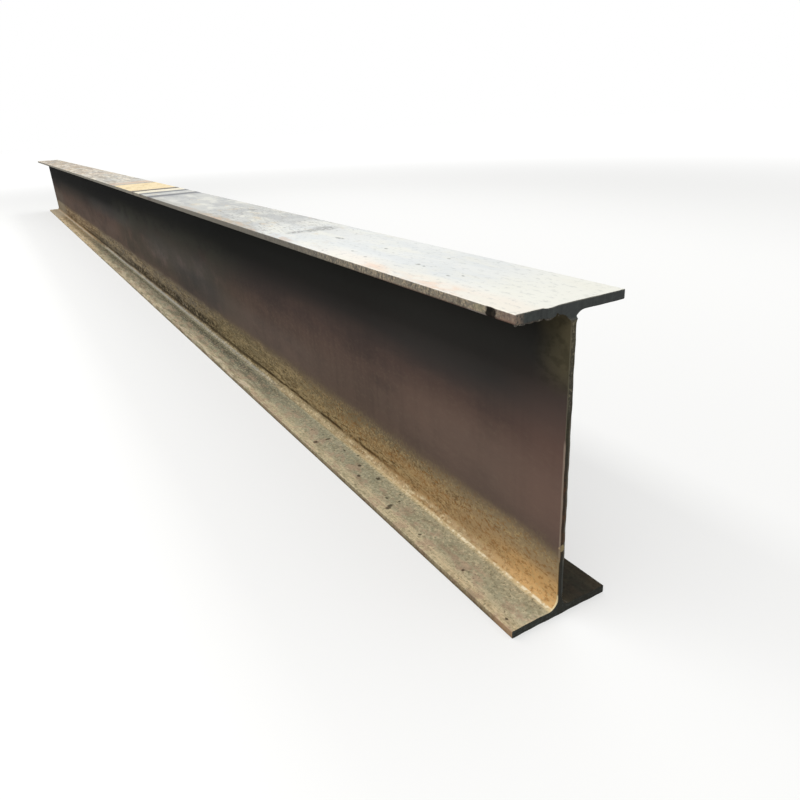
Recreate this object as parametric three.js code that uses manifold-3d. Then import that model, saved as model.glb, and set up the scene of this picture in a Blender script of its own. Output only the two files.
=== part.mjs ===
// Hot-rolled steel H-beam with torch-cut ends.
//
// One rolled piece: two parallel flanges on a web, with a fillet at each root. Each end was cut by hand
// with a torch that followed the three plates one after the other, so the cuts wander a little, and they
// meet half-way up the root fillets. At the head end the upper flange was cut in two goes: it lies back
// from the web's cut, a tongue stands where the second go began, slag hangs under the first, and the
// flame left a gouge at the root. Just behind it a lifting clamp bit the flange's side.
//
// Millimetres, +Z up. The beam lies along X with its head end at +X, and the origin is half-way along
// it, under the middle of the lower flange.

import * as THREE from 'three';
import { mergeVertices } from 'three/addons/utils/BufferGeometryUtils.js';
import Module from 'manifold-3d';

// Rolled section
const LENGTH = 12000; // between the furthest points of the two ends
const DEPTH = 792; // over the flanges
const FLANGE_WIDTH = 300;
const FLANGE_THICKNESS = 22;
const WEB_THICKNESS = 14;
const ROOT_RADIUS = 28; // between web and flange
const TOE_RADIUS = 3; // rolled edges of the flanges
const ARC_SEGMENTS = 8; // facets in each of these quarter rounds

// Torch cuts
const CUT_WANDER = 0.8; // the torch strays this far to each side of its line
const WANDER_LENGTH = 130; // from one stray to the next along the cut
const CUT_FACET = 6; // straight pieces that a cut line is made of
const ROOT_SHARE = 0.5; // a flange's cut runs on to this share of the fillet's height

// Upper flange at the head end, where the near edge is the one at -Y
const FLANGE_SETBACK = 6; // its cut lies behind the web's
const TONGUE_PLACE = 70; // from the near edge to the tongue
const TONGUE_HEIGHT = 6; // it stands out of the flange's cut
const TONGUE_WIDTH = 18;
const TONGUE_TAIL = 30; // it tapers off over this length, towards the web
const TONGUE_RISE = 4; // and starts as steeply as this on the other side

// Slag under the near half of that cut: drops that ran into each other
const SLAG_PITCH = 5; // from drop to drop
const SLAG_RADIUS = 4.5; // largest drop
const SLAG_HANG = 6; // below the flange, largest drop
const SLAG_CLEAR = 10; // last drop to the middle of the gouge
const SLAG_FACETS = 8; // round each drop
const SMALLEST_DROP = 0.5; // share of the largest

// Gouge at the near root, where the flame turned from the flange to the web
const GOUGE_RADIUS = 5;
const GOUGE_DEPTH = 16; // into the cut, along the beam
const GOUGE_FROM_FILLET = 8; // outside the fillet
const GOUGE_FACETS = 12;

// Bite of a lifting clamp in the near side of the upper flange
const BITE_PLACE = 85; // from the head end
const BITE_LENGTH = 32;
const BITE_DEPTH = 2;
const BITE_FACETS = 72; // round the full circle that the bite is a piece of

const CLEARANCE = 20; // how far the cutting shapes reach past the beam

// Each cut line wanders in a way of its own, which its hand sets
const HEAD_HANDS = { upper: 0.4, web: 2.2, lower: 5.3 };
const TAIL_HANDS = { upper: 4.1, web: 1.3, lower: 2.6 };

const RIGHT_ANGLE = Math.PI / 2;
const AXIS_X = new THREE.Vector3(1, 0, 0);
const AXIS_Y = new THREE.Vector3(0, 1, 0);
const AXIS_Z = new THREE.Vector3(0, 0, 1);

// Places that several features share
const halfLength = LENGTH / 2;
const halfFlange = FLANGE_WIDTH / 2;
const halfWeb = WEB_THICKNESS / 2;
const toeRadius = Math.min(TOE_RADIUS, FLANGE_THICKNESS / 2);
const rootRadius = Math.min(ROOT_RADIUS, halfFlange - halfWeb - toeRadius, DEPTH / 2 - FLANGE_THICKNESS);
const filletEdge = halfWeb + rootRadius; // where the flange turns flat, from the web's middle
const upperUnderside = DEPTH - FLANGE_THICKNESS;
const cutsMeet = FLANGE_THICKNESS + ROOT_SHARE * rootRadius; // from the flange's outer face
const gougeY = -filletEdge - GOUGE_FROM_FILLET;

const wasm = await Module();
wasm.setup();

/** Makes a closed geometry a solid. */
function solidOf(geometry) {
  const bare = geometry.index ? geometry.toNonIndexed() : geometry.clone();
  bare.deleteAttribute('normal');
  bare.deleteAttribute('uv');
  const merged = mergeVertices(bare, 1e-4);
  return new wasm.Manifold(new wasm.Mesh({
    numProp: 3,
    vertProperties: new Float32Array(merged.attributes.position.array),
    triVerts: new Uint32Array(merged.index.array),
  }));
}

/** Makes a solid a flat-shaded geometry. */
function geometryOf(solid) {
  const { vertProperties, triVerts } = solid.getMesh();
  const indexed = new THREE.BufferGeometry();
  indexed.setAttribute('position', new THREE.BufferAttribute(vertProperties, 3));
  indexed.setIndex(new THREE.BufferAttribute(triVerts, 1));
  const geometry = indexed.toNonIndexed();
  geometry.computeVertexNormals();
  return geometry;
}

/** The section in the YZ plane, anticlockwise, as quarter rounds joined by straight faces. */
function sectionOutline() {
  const outline = new THREE.Shape();
  const toe = (y, z, quarter) => {
    const start = quarter * RIGHT_ANGLE;
    outline.absarc(y, z, toeRadius, start, start + RIGHT_ANGLE, false);
  };
  const root = (y, z, quarter) => {
    const start = quarter * RIGHT_ANGLE;
    outline.absarc(y, z, rootRadius, start, start - RIGHT_ANGLE, true);
  };
  const toeY = halfFlange - toeRadius;
  const lowerToes = [toeRadius, FLANGE_THICKNESS - toeRadius];
  const upperToes = [upperUnderside + toeRadius, DEPTH - toeRadius];
  const rootHeights = [FLANGE_THICKNESS + rootRadius, upperUnderside - rootRadius];

  toe(toeY, lowerToes[0], -1);
  toe(toeY, lowerToes[1], 0);
  root(filletEdge, rootHeights[0], 3);
  root(filletEdge, rootHeights[1], 2);
  toe(toeY, upperToes[0], -1);
  toe(toeY, upperToes[1], 0);
  toe(-toeY, upperToes[1], 1);
  toe(-toeY, upperToes[0], 2);
  root(-filletEdge, rootHeights[1], 1);
  root(-filletEdge, rootHeights[0], 0);
  toe(-toeY, lowerToes[1], 1);
  toe(-toeY, lowerToes[0], 2);
  outline.closePath();
  return outline;
}

/** The beam as it left the rolls, before its ends were cut. */
function rolledBar() {
  const uncut = LENGTH + 2 * CLEARANCE;
  const bar = new THREE.ExtrudeGeometry(sectionOutline(), {
    depth: uncut,
    steps: 1,
    curveSegments: ARC_SEGMENTS,
    bevelEnabled: false,
  });
  bar.applyMatrix4(new THREE.Matrix4().makeBasis(AXIS_Y, AXIS_Z, AXIS_X));
  return solidOf(bar.translate(-uncut / 2, 0, 0));
}

/** How far a hand-held torch strays at a place along its line, between -CUT_WANDER and CUT_WANDER. */
function stray(along, hand) {
  const turn = (2 * Math.PI * along) / WANDER_LENGTH;
  return CUT_WANDER * (0.6 * Math.sin(turn + hand) + 0.4 * Math.sin(2.7 * turn + 3.1 * hand));
}

/** How far the tongue stands out of the upper flange's cut at a place across the flange. */
function tongueAt(y) {
  const fromEdge = y + halfFlange - TONGUE_PLACE;
  const rise = fromEdge / TONGUE_RISE;
  const fall = (TONGUE_WIDTH + TONGUE_TAIL - fromEdge) / TONGUE_TAIL;
  return TONGUE_HEIGHT * THREE.MathUtils.clamp(Math.min(rise, fall), 0, 1);
}

/** How far the upper flange's cut lies behind the end of the beam, at the head end. */
function headSetback(y) {
  return FLANGE_SETBACK - tongueAt(y);
}

/** X of a torch cut at a place along it; setback(along) is how far it lies behind the beam's end. */
function cutX(along, hand, setback) {
  return halfLength - setback(along) - CUT_WANDER - stray(along, hand);
}

/**
 * What the torch takes off one plate at an end, as a slab whose inner face is the cut.
 *
 * The cut runs between two places on the plate. The slab is drawn in a plane, with x along the beam and
 * y along the cut, and is thickness deep.
 */
function torchSlab(from, to, thickness, hand, setback) {
  const pieces = Math.ceil((to - from) / CUT_FACET);
  const places = Array.from({ length: pieces + 1 }, (_, i) => from + ((to - from) * i) / pieces);
  const cut = places.map((along) => new THREE.Vector2(cutX(along, hand, setback), along));
  const beyond = halfLength + 2 * CLEARANCE;
  const slab = new THREE.Shape([
    new THREE.Vector2(beyond, from),
    new THREE.Vector2(beyond, to),
    ...cut.reverse(),
  ]);
  return new THREE.ExtrudeGeometry(slab, { depth: thickness, bevelEnabled: false });
}

/** What the torch takes off an end that faces +X: upper flange, web and lower flange. */
function endCut(hands, upperSetback) {
  const across = halfFlange + CLEARANCE;
  const overlap = 0.5 * rootRadius * (1 - ROOT_SHARE); // a flange's slab runs this far into the web's
  const flangeSlab = cutsMeet + overlap + CLEARANCE;
  const upper = torchSlab(-across, across, flangeSlab, hands.upper, upperSetback);
  upper.translate(0, 0, DEPTH - cutsMeet - overlap);
  const lower = torchSlab(-across, across, flangeSlab, hands.lower, () => 0);
  lower.translate(0, 0, -CLEARANCE);
  const webDepth = 2 * filletEdge;
  const web = torchSlab(cutsMeet, DEPTH - cutsMeet, webDepth, hands.web, () => 0);
  web.applyMatrix4(new THREE.Matrix4().makeBasis(AXIS_X, AXIS_Z, AXIS_Y.clone().negate()));
  web.translate(0, webDepth / 2, 0);
  return [upper, web, lower].map(solidOf).reduce((whole, slab) => whole.add(slab));
}

/** The tail end's cut: the same three passes in another hand, turned to face -X. */
function tailCut() {
  return endCut(TAIL_HANDS, () => 0).rotate([0, 0, 180]);
}

/** The slag that ran down the first go of the upper flange's cut, frozen as it hung in drops. */
function slagDrops() {
  const first = -halfFlange + SLAG_RADIUS;
  const last = gougeY - SLAG_CLEAR;
  const count = Math.max(Math.floor((last - first) / SLAG_PITCH) + 1, 1);
  return Array.from({ length: count }, (_, i) => {
    const y = first + i * SLAG_PITCH;
    const size = SMALLEST_DROP + (1 - SMALLEST_DROP) * Math.abs(Math.sin(2.4 * i + 0.9));
    const radius = SLAG_RADIUS * size;
    const x = cutX(y, HEAD_HANDS.upper, headSetback) - radius;
    return solidOf(slagDrop(radius, SLAG_HANG * size).translate(x, y, upperUnderside));
  });
}

/** One drop: a turned tear with its waist at z = 0, in the plate's underside, and its foot below. */
function slagDrop(radius, hang) {
  const tear = new THREE.CubicBezierCurve(
    new THREE.Vector2(0, -hang),
    new THREE.Vector2(radius, -hang),
    new THREE.Vector2(0.8 * radius, -0.3 * hang),
    new THREE.Vector2(radius, 0),
  );
  const profile = [...tear.getPoints(4), new THREE.Vector2(0, radius)];
  profile[0].x = 0;
  return new THREE.LatheGeometry(profile, SLAG_FACETS).rotateX(RIGHT_ANGLE);
}

/** The gouge: a tapering hollow that the flame blew along the beam, in the underside at the near root. */
function rootGouge() {
  const mouth = headSetback(gougeY) + GOUGE_DEPTH;
  const taper = new THREE.LatheGeometry([
    new THREE.Vector2(0, 0),
    new THREE.Vector2(0.55 * GOUGE_RADIUS, 0.15 * GOUGE_DEPTH),
    new THREE.Vector2(GOUGE_RADIUS, GOUGE_DEPTH),
    new THREE.Vector2(GOUGE_RADIUS, mouth + CLEARANCE),
    new THREE.Vector2(0, mouth + CLEARANCE),
  ], GOUGE_FACETS);
  taper.rotateZ(-RIGHT_ANGLE);
  return solidOf(taper.translate(halfLength - mouth, gougeY, upperUnderside));
}

/** The clamp's bite: a shallow round hollow, right through the flange's thickness. */
function clampBite() {
  const radius = (BITE_LENGTH ** 2 / 4 + BITE_DEPTH ** 2) / (2 * BITE_DEPTH);
  const height = FLANGE_THICKNESS + 2 * CLEARANCE;
  const disc = new THREE.CylinderGeometry(radius, radius, height, BITE_FACETS).rotateX(RIGHT_ANGLE);
  const middle = upperUnderside + FLANGE_THICKNESS / 2;
  return solidOf(disc.translate(halfLength - BITE_PLACE, BITE_DEPTH - radius - halfFlange, middle));
}

/** The whole beam. */
function hBeam() {
  const cuts = [endCut(HEAD_HANDS, headSetback), tailCut(), rootGouge(), clampBite()];
  const cutBar = cuts.reduce((bar, cut) => bar.subtract(cut), rolledBar());
  const dressed = slagDrops().reduce((bar, drop) => bar.add(drop), cutBar);
  const millScale = new THREE.MeshStandardMaterial({ color: 0x5a4d46, roughness: 0.55, metalness: 0.6 });
  const beam = new THREE.Mesh(geometryOf(dressed), millScale);
  beam.name = 'h_beam';
  return beam;
}

const group = new THREE.Group();
group.add(hBeam());

export default group;
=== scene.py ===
"""Looks of a hot-rolled steel H-beam: worn mill scale, rust bloom, torch-cut ends and frozen slag.

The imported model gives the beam's length, depth and width. One dressed mesh, swept from the rolled section,
stands for the model's node. Metres, +Z up; the beam lies along X with its head end at +X.
"""

from __future__ import annotations

import logging
import math
import sys
from dataclasses import dataclass, replace
from enum import Enum
from functools import partial
from typing import ClassVar

import bpy
import numpy as np
from mathutils import Matrix, Vector
from mathutils.geometry import delaunay_2d_cdt


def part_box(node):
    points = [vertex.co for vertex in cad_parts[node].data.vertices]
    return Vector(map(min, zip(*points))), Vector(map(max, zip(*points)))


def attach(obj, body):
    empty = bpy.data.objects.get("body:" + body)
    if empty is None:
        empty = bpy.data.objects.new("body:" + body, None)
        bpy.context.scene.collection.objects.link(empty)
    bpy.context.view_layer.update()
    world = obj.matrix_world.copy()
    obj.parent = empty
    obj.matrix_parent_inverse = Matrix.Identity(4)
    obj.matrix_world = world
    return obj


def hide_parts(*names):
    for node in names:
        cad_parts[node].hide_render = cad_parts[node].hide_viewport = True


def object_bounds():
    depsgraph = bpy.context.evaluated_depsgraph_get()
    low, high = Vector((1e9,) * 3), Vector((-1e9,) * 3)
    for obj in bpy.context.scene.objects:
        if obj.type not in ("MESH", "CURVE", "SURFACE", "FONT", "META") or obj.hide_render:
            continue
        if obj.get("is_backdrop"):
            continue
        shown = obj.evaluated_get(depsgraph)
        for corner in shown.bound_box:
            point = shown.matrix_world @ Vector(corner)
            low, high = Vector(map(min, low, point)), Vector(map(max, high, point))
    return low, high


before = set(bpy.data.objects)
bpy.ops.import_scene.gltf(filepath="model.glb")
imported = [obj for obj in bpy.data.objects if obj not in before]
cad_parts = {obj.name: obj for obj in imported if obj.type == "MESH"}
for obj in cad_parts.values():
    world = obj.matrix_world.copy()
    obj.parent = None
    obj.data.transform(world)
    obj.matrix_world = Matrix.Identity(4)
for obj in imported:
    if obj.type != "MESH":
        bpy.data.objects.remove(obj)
CAD_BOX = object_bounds()

LOG = logging.getLogger("h_beam")
CAD_NODE = "h_beam"
BODY = "root"
BAKE_MAP = "OFBake"  # the map that lay_bake_map lays out for baking
MM = 0.001
WELD = 0.05 * MM  # points nearer than this are one
SAME = 1e-9  # points nearer than this are one to the triangulation
SLAG_GAP = 10 * MM  # between the last drop and the gouge
FAR_OFF = 1000.0  # further from any mark than a finish looks
SEED_STEP = (17.3, 5.9, 11.1)  # how far the next seed moves a pattern
Triple = tuple[float, float, float]
Node = bpy.types.Node
Socket = bpy.types.NodeSocket
Value = Socket | float | tuple[float, ...]


def linear(hex_colour: str) -> tuple[float, float, float, float]:
    """Turns an sRGB colour to the linear one that shaders take.

    Args:
        hex_colour: The colour as #rrggbb.

    Returns:
        Red, green, blue and alpha, each from 0 to 1.
    """
    channels = (int(hex_colour[i : i + 2], 16) / 255 for i in (1, 3, 5))
    red, green, blue = (c / 12.92 if c <= 0.04045 else ((c + 0.055) / 1.055) ** 2.4 for c in channels)
    return red, green, blue, 1.0


def add_node(tree: bpy.types.NodeTree, kind: str, inputs: dict | None = None, **settings) -> Node:
    """Adds a node to a tree.

    Args:
        tree: The tree that gets the node.
        kind: The node's type name.
        inputs: For each input's name or index, the socket that feeds it or its value.
        **settings: The node's own properties.

    Returns:
        The new node.
    """
    node = tree.nodes.new(kind)
    for name, value in settings.items():
        setattr(node, name, value)
    for key, value in (inputs or {}).items():
        if isinstance(value, Socket):
            tree.links.new(value, node.inputs[key])
        else:
            node.inputs[key].default_value = value
    return node


def new_object(name: str, mesh: bpy.types.Mesh) -> bpy.types.Object:
    """Puts a mesh in the scene as an object at the origin.

    Args:
        name: The object's name.
        mesh: Its mesh.

    Returns:
        The object.
    """
    made = bpy.data.objects.new(name, mesh)
    bpy.context.scene.collection.objects.link(made)
    return made


def new_mesh(name: str, points: np.ndarray, edges: list = (), faces: list = ()) -> bpy.types.Mesh:
    """Makes a mesh.

    Args:
        name: Its name.
        points: Rows of x, y and z.
        edges: Pairs that count in the points.
        faces: Rows that count in the points.

    Returns:
        The mesh.
    """
    mesh = bpy.data.meshes.new(name)
    mesh.from_pydata([tuple(p) for p in points], list(edges), list(faces))
    mesh.update()
    return mesh


def put_attribute(mesh: bpy.types.Mesh, name: str, kind: str, values: np.ndarray) -> None:
    """Stores a number or a row of three at each point of a mesh.

    Args:
        mesh: The mesh.
        name: The attribute's name.
        kind: FLOAT or FLOAT_VECTOR.
        values: What each point gets.
    """
    attribute = mesh.attributes.new(name, kind, "POINT")
    key = "vector" if kind == "FLOAT_VECTOR" else "value"
    attribute.data.foreach_set(key, np.asarray(values, np.float32).ravel())


# ---------------------------------------- section


@dataclass(frozen=True)
class Section:
    """The rolled section, in the YZ plane, with its foot on z = 0."""

    depth: float
    width: float
    flange: float = 22 * MM
    web: float = 14 * MM
    root: float = 28 * MM  # fillet between web and flange
    toe: float = 3 * MM  # rolled edge of a flange
    toe_facets: int = 6
    root_facets: int = 10
    flange_pitch: float = 3.2 * MM  # from point to point across a flange
    web_pitch: float = 6 * MM

    @property
    def fillet_edge(self) -> float:
        """Where a flange turns flat, from the web's middle."""
        return self.web / 2 + self.root

    @property
    def upper_underside(self) -> float:
        """Height of the upper flange's underside."""
        return self.depth - self.flange

    def quarter(self, y: float, z: float, radius: float, start: float, sweep: float) -> np.ndarray:
        """The points of one quarter round.

        Args:
            y: Middle across the beam.
            z: Middle's height.
            radius: Radius.
            start: First angle, in quarter turns from +Y towards +Z.
            sweep: 1 anticlockwise or -1 clockwise.

        Returns:
            One row for each point.
        """
        facets = self.root_facets if sweep < 0 else self.toe_facets
        angle = (start + sweep * np.linspace(0, 1, facets + 1)) * (math.pi / 2)
        return np.stack([y + radius * np.cos(angle), z + radius * np.sin(angle)], 1)

    def outline(self) -> np.ndarray:
        """The closed outline, anticlockwise as seen from the head end.

        Returns:
            One row for each point.
        """
        toe_y = self.width / 2 - self.toe
        low_root, high_root = self.flange + self.root, self.upper_underside - self.root
        half = [
            self.quarter(toe_y, self.toe, self.toe, -1, 1),
            self.quarter(toe_y, self.flange - self.toe, self.toe, 0, 1),
            self.quarter(self.fillet_edge, low_root, self.root, 3, -1),
            self.quarter(self.fillet_edge, high_root, self.root, 2, -1),
            self.quarter(toe_y, self.upper_underside + self.toe, self.toe, -1, 1),
            self.quarter(toe_y, self.depth - self.toe, self.toe, 0, 1),
        ]
        arcs = half + [arc[::-1] * (-1, 1) for arc in reversed(half)]
        points = []
        for arc, following in zip(arcs, arcs[1:] + arcs[:1]):
            points.extend(arc)
            run = following[0] - arc[-1]
            pitch = self.web_pitch if abs(run[1]) > self.depth / 2 else self.flange_pitch
            pieces = max(1, round(float(np.hypot(*run)) / pitch))
            points.extend(arc[-1] + run * i / pieces for i in range(1, pieces))
        return np.array(points)


def outward(outline: np.ndarray) -> np.ndarray:
    """The outward normal at each point of an outline.

    Args:
        outline: One row for each point, anticlockwise.

    Returns:
        One row of unit length for each point.
    """
    run = np.roll(outline, -1, 0) - np.roll(outline, 1, 0)
    normal = np.stack([run[:, 1], -run[:, 0]], 1)
    return normal / np.linalg.norm(normal, axis=1, keepdims=True)


def clear_inside(points: np.ndarray, ring: np.ndarray, gap: float) -> np.ndarray:
    """Which points lie inside a ring and clear of it.

    Args:
        points: Rows of two coordinates.
        ring: The closed outline, one row for each point.
        gap: The least distance from the outline.

    Returns:
        True for each point that does.
    """
    inside = np.zeros(len(points), bool)
    nearest = np.full(len(points), np.inf)
    for (y0, z0), (dy, dz) in zip(ring, np.roll(ring, -1, 0) - ring):
        crosses = (z0 > points[:, 1]) != (z0 + dz > points[:, 1])
        if dz:
            inside ^= crosses & (points[:, 0] < y0 + dy * (points[:, 1] - z0) / dz)
        to_point = points - (y0, z0)
        share = np.clip(to_point @ (dy, dz) / (dy * dy + dz * dz), 0, 1)
        away = np.linalg.norm(to_point - share[:, None] * (dy, dz), axis=1)
        nearest = np.minimum(nearest, away)
    return inside & (nearest > gap)


# ---------------------------------------- torch cuts


@dataclass(frozen=True)
class Hands:
    """What makes each plate's cut line wander in a way of its own."""

    upper: float
    web: float
    lower: float


@dataclass(frozen=True)
class TorchCut:
    """One end's cut, as how far it lies behind the furthest point of the beam."""

    hands: Hands
    flange_setback: float = 0.0
    wander: float = 0.8 * MM
    wander_length: float = 130 * MM
    waves: tuple[Triple, ...] = ((0.6, 1.0, 1.0), (0.4, 2.7, 3.1))  # share, and factors of turn and hand
    root_share: float = 0.5  # a flange's cut runs on to this share of the fillet's height
    ledge: float = 1.6 * MM  # height over which one cut steps to the next
    tongue_place: float = 70 * MM  # from the near edge
    tongue_width: float = 18 * MM
    tongue_tail: float = 30 * MM
    tongue_rise: float = 4 * MM

    def stray(self, along: np.ndarray, hand: float) -> np.ndarray:
        """How far the torch strays to each side of its line at places along it."""
        turn = 2 * math.pi * along / self.wander_length
        return self.wander * sum(share * np.sin(a * turn + b * hand) for share, a, b in self.waves)

    def tongue(self, y: np.ndarray, width: float) -> np.ndarray:
        """How far the tongue stands out of the upper flange's cut.

        Args:
            y: Places across.
            width: The flange's width.

        Returns:
            A distance for each place.
        """
        from_edge = y + width / 2 - self.tongue_place
        rise = from_edge / self.tongue_rise
        fall = (self.tongue_width + self.tongue_tail - from_edge) / self.tongue_tail
        return self.flange_setback * np.clip(np.minimum(rise, fall), 0, 1)

    def meets(self, section: Section) -> float:
        """How far from a flange's outer face its cut meets the web's."""
        return section.flange + self.root_share * section.root

    def setback(self, places: np.ndarray, section: Section) -> np.ndarray:
        """How far the cut lies back at places on the section.

        Args:
            places: Rows of y and z.
            section: The section that was cut.

        Returns:
            A distance for each place.
        """
        y, z = places.T
        meets = self.meets(section)
        stray = self.wander + self.stray(y, self.hands.upper)
        upper = self.flange_setback - self.tongue(y, section.width) + stray
        web = self.wander + self.stray(z, self.hands.web)
        lower = self.wander + self.stray(y, self.hands.lower)
        to_upper = np.clip((z - (section.depth - meets)) / self.ledge + 0.5, 0, 1)
        to_lower = np.clip((meets - z) / self.ledge + 0.5, 0, 1)
        return web + (upper - web) * to_upper + (lower - web) * to_lower


# ---------------------------------------- node trees


class Graph:
    """A node tree that is written as calls, each of which gives out a socket."""

    MIX_SOCKETS: ClassVar = {"FLOAT": (2, 3, 0), "RGBA": (6, 7, 2)}  # inputs A and B, and the output

    def __init__(self, tree: bpy.types.NodeTree) -> None:
        """Empties a tree to start from."""
        self.tree = tree
        tree.nodes.clear()

    def add(self, kind: str, inputs: dict | None = None, **settings) -> Node:
        """Adds a node, as add_node does."""
        return add_node(self.tree, kind, inputs, **settings)

    def get(self, kind: str, inputs: dict | None = None, **settings) -> Socket:
        """Adds a node and gives its first output."""
        return self.add(kind, inputs, **settings).outputs[0]

    def math(self, operation: str, *values: Value, **settings) -> Socket:
        """Adds a Math node."""
        return self.get("ShaderNodeMath", dict(enumerate(values)), operation=operation, **settings)

    def vector(self, operation: str, *values: Value) -> Socket:
        """Adds a Vector Math node on whole vectors."""
        return self.get("ShaderNodeVectorMath", dict(enumerate(values)), operation=operation)

    def scaled(self, vector: Socket, scale: Value) -> Socket:
        """A vector times a number."""
        return self.get("ShaderNodeVectorMath", {0: vector, "Scale": scale}, operation="SCALE")

    def length(self, vector: Socket) -> Socket:
        """A vector's length."""
        return self.add("ShaderNodeVectorMath", {0: vector}, operation="LENGTH").outputs["Value"]

    def mixed(self, share: Socket, low: Value, high: Value, kind: str = "FLOAT") -> Socket:
        """Goes from low to high, both numbers or, by RGBA, both colours, as a share goes from 0 to 1."""
        first, second, result = self.MIX_SOCKETS[kind]
        return self.add("ShaderNodeMix", {0: share, first: low, second: high}, data_type=kind).outputs[result]

    def split(self, vector: Socket) -> list[Socket]:
        """A vector's three coordinates."""
        return list(self.add("ShaderNodeSeparateXYZ", {0: vector}).outputs)

    def joined(self, **coordinates: Value) -> Socket:
        """A vector from its coordinates X, Y and Z, 0 where none is given."""
        return self.get("ShaderNodeCombineXYZ", coordinates)

    def noise(self, place: Socket, detail: float, roughness: float = 0.5) -> Socket:
        """A noise with features of about one unit."""
        inputs = {"Vector": place, "Scale": 1.0, "Detail": detail, "Roughness": roughness}
        return self.get("ShaderNodeTexNoise", inputs)

    def ramp(
        self,
        value: Socket,
        low: Value,
        high: Value,
        ends: tuple[float, float] = (0.0, 1.0),
        shape: str = "SMOOTHSTEP",
    ) -> Socket:
        """Goes from one end to the other as a value goes from low to high.

        Args:
            value: What it follows.
            low: Where it leaves the first end.
            high: Where it reaches the second, which may be lower.
            ends: What it gives at both ends.
            shape: SMOOTHSTEP or LINEAR.

        Returns:
            The result, which stays between the ends.
        """
        inputs = {"Value": value, "From Min": low, "From Max": high, "To Min": ends[0], "To Max": ends[1]}
        return self.get("ShaderNodeMapRange", inputs, interpolation_type=shape)


def titled(holder: object, names: str) -> dict[str, float]:
    """Some fields of a dataclass, each under its name as a tree's input has it."""
    return {name.replace("_", " ").title(): getattr(holder, name) for name in names.split()}


class Recipe(Graph):
    """A Geometry Nodes tree with named inputs, and the values that they get."""

    KINDS: ClassVar = {float: "Float", bpy.types.Object: "Object", bpy.types.Material: "Material"}

    def __init__(self, name: str, values: dict[str, float | bpy.types.ID]) -> None:
        """Makes a tree that has only its sockets, one input for each value.

        Args:
            name: The tree's name.
            values: What each input gets, by the input's name.
        """
        super().__init__(bpy.data.node_groups.new(name, "GeometryNodeTree"))
        self.values = values
        kinds = {"Geometry": "Geometry", **{key: self.KINDS[type(value)] for key, value in values.items()}}
        sockets = self.tree.interface
        sockets.new_socket("Geometry", in_out="OUTPUT", socket_type="NodeSocketGeometry")
        for key, kind in kinds.items():
            sockets.new_socket(key, in_out="INPUT", socket_type=f"NodeSocket{kind}")
        self.given = {socket.name: socket for socket in self.add("NodeGroupInput").outputs if socket.name}

    def position(self) -> list[Socket]:
        """Each point's x, y and z."""
        return self.split(self.get("GeometryNodeInputPosition"))

    def named(self, name: str, kind: str) -> Socket:
        """A stored attribute."""
        return self.get("GeometryNodeInputNamedAttribute", {"Name": name}, data_type=kind)

    def marked(self, geometry: Socket, name: str, faces: Socket | bool) -> Socket:
        """Stores on each face whether it is one of those."""
        marks = {"Geometry": geometry, "Name": name, "Value": faces}
        return self.get("GeometryNodeStoreNamedAttribute", marks, data_type="BOOLEAN", domain="FACE")

    def moved(self, geometry: Socket, **moves: Socket) -> Socket:
        """Moves points, by the inputs Selection, Position and Offset."""
        return self.get("GeometryNodeSetPosition", {"Geometry": geometry, **moves})

    def taken(self, name: str) -> Socket:
        """The geometry of the object that is given under a name."""
        return self.add("GeometryNodeObjectInfo", {"Object": self.given[name]}).outputs["Geometry"]

    def end(self, geometry: Socket, materials: list[tuple[Socket, Socket | None]]) -> None:
        """Realizes the instances, sets the materials and gives the result out.

        Args:
            geometry: What the tree has made.
            materials: Each material, with the faces that it covers, or None for all.
        """
        flow = self.get("GeometryNodeRealizeInstances", {"Geometry": geometry})
        for material, faces in materials:
            selection = {} if faces is None else {"Selection": faces}
            inputs = {"Geometry": flow, "Material": material, **selection}
            flow = self.get("GeometryNodeSetMaterial", inputs)
        self.add("NodeGroupOutput", {"Geometry": flow})

    def run(self, mesh: bpy.types.Mesh, name: str) -> bpy.types.Object:
        """Runs the tree on a mesh.

        Args:
            mesh: What goes in as Geometry.
            name: The finished object's name.

        Returns:
            A plain object that holds the result, with no modifier.
        """
        source = new_object(f"{name}_source", mesh)
        modifier = source.modifiers.new(self.tree.name, "NODES")
        modifier.node_group = self.tree
        for item in self.tree.interface.items_tree:
            if item.in_out == "INPUT" and item.name in self.values:
                modifier[item.identifier] = self.values[item.name]
        depsgraph = bpy.context.evaluated_depsgraph_get()
        result = bpy.data.meshes.new_from_object(source.evaluated_get(depsgraph), depsgraph=depsgraph)
        result.name = name
        if result.materials[0] is None:
            result.materials.pop(index=0)
        bpy.data.objects.remove(source)
        return new_object(name, result)


# ---------------------------------------- beam


class Face(Enum):
    """The kinds of face that the beam's finishes tell apart."""

    WEB = "Web Finish"  # and the upper flange's underside
    LOWER_FLANGE = "Foot Finish"
    UPPER_FLANGE = "Flange Finish"
    CUT = "Cut Finish"


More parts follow.
